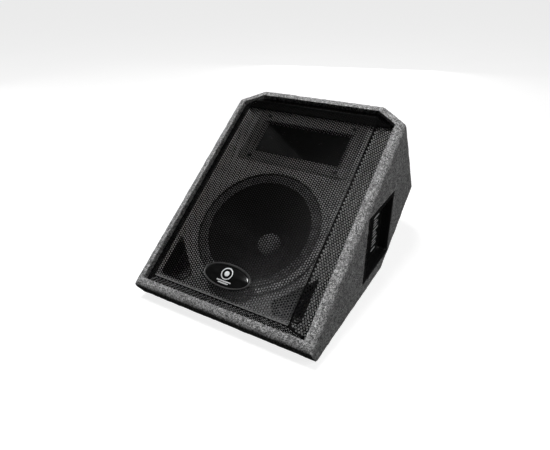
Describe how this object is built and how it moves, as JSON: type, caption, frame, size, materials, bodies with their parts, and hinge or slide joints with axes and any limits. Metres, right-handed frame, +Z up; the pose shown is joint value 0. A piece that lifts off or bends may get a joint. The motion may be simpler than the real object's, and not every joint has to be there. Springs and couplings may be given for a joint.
{
  "type": "stage monitor wedge",
  "caption": "Floor-standing two-way stage loudspeaker wedge, carpet covered, with a horn above a cone woofer behind a perforated grille and a connector dish in its side.",
  "frame": {"origin": "centre of the bounding box's underside, on the floor under the feet", "axes": "+Z up, +X to the cabinet's right as seen from the front, the baffle facing -Y"},
  "size_m": [0.4399, 0.6194, 0.3767],
  "materials": {
    "carpet": "plywood under short grey mottled carpet",
    "painted_board": "plywood under matt black textured paint",
    "board": "raw softwood",
    "foam": "open-cell foam",
    "black_plastic": "moulded, fine grain",
    "black_metal": "black powder coat",
    "gloss_black": "polished, domed",
    "paper": "pressed paper pulp",
    "treated_cloth": "doped cloth",
    "rubber": "matt",
    "steel": "plated",
    "ferrite": "sintered, grey",
    "copper": "enamelled copper wire",
    "circuit_board": "fibre board",
    "grey_plastic": "satin"
  },
  "bodies": {
    "cabinet": {"right_side_panel": "carpet", "left_side_panel": "carpet", "top_panel": "carpet", "right_corner_panel": "carpet", "left_corner_panel": "carpet", "toe_panel": "carpet", "floor_panel": "carpet", "back_panel": "carpet", "front_baffle": "painted_board", "foam_strip": "foam", "right_batten": "board", "left_batten": "board", "top_batten": "board", "bottom_batten": "board", "right_port_duct": "black_plastic", "left_port_duct": "black_plastic", "front_grille": "black_metal", "badge": "gloss_black", "woofer_basket": "black_metal", "woofer_gasket": "rubber", "woofer_surround": "treated_cloth", "spider": "treated_cloth", "woofer_front_plate": "steel", "woofer_magnet": "ferrite", "woofer_back_plate": "steel", "woofer_terminal": "black_plastic", "horn_flare": "black_plastic", "horn_screw_lower_right": "steel", "horn_screw_upper_right": "steel", "horn_screw_upper_left": "steel", "horn_screw_lower_left": "steel", "hf_throat_plate": "black_metal", "hf_magnet": "ferrite", "hf_back_plate": "steel", "hf_diaphragm": "grey_plastic", "hf_cover": "black_plastic", "crossover_board": "circuit_board", "woofer_inductor": "copper", "hf_inductor": "copper", "large_capacitor": "grey_plastic", "small_capacitor": "grey_plastic", "crossover_resistor": "grey_plastic", "connector_dish": "black_plastic", "connector_plate": "black_metal", "input_socket": "black_plastic", "link_socket": "black_plastic", "dish_screw_lower_front": "steel", "dish_screw_upper_front": "steel", "dish_screw_upper_rear": "steel", "dish_screw_lower_rear": "steel", "foot_front_right": "rubber", "foot_front_left": "rubber", "foot_rear_right": "rubber", "foot_rear_left": "rubber"},
    "cone_assembly": {"woofer_cone": "paper", "dust_cap": "paper", "voice_coil_former": "grey_plastic", "voice_coil_winding": "copper"}
  },
  "joints": [
    {"name": "cone_travel", "type": "slide", "parent": "cabinet", "child": "cone_assembly", "axis": [0, -0.5736, 0.8192], "range_m": [-0.005, 0.005], "stiffness_N_per_m": 4000, "deforming": ["woofer_surround", "spider"]}
  ]
}
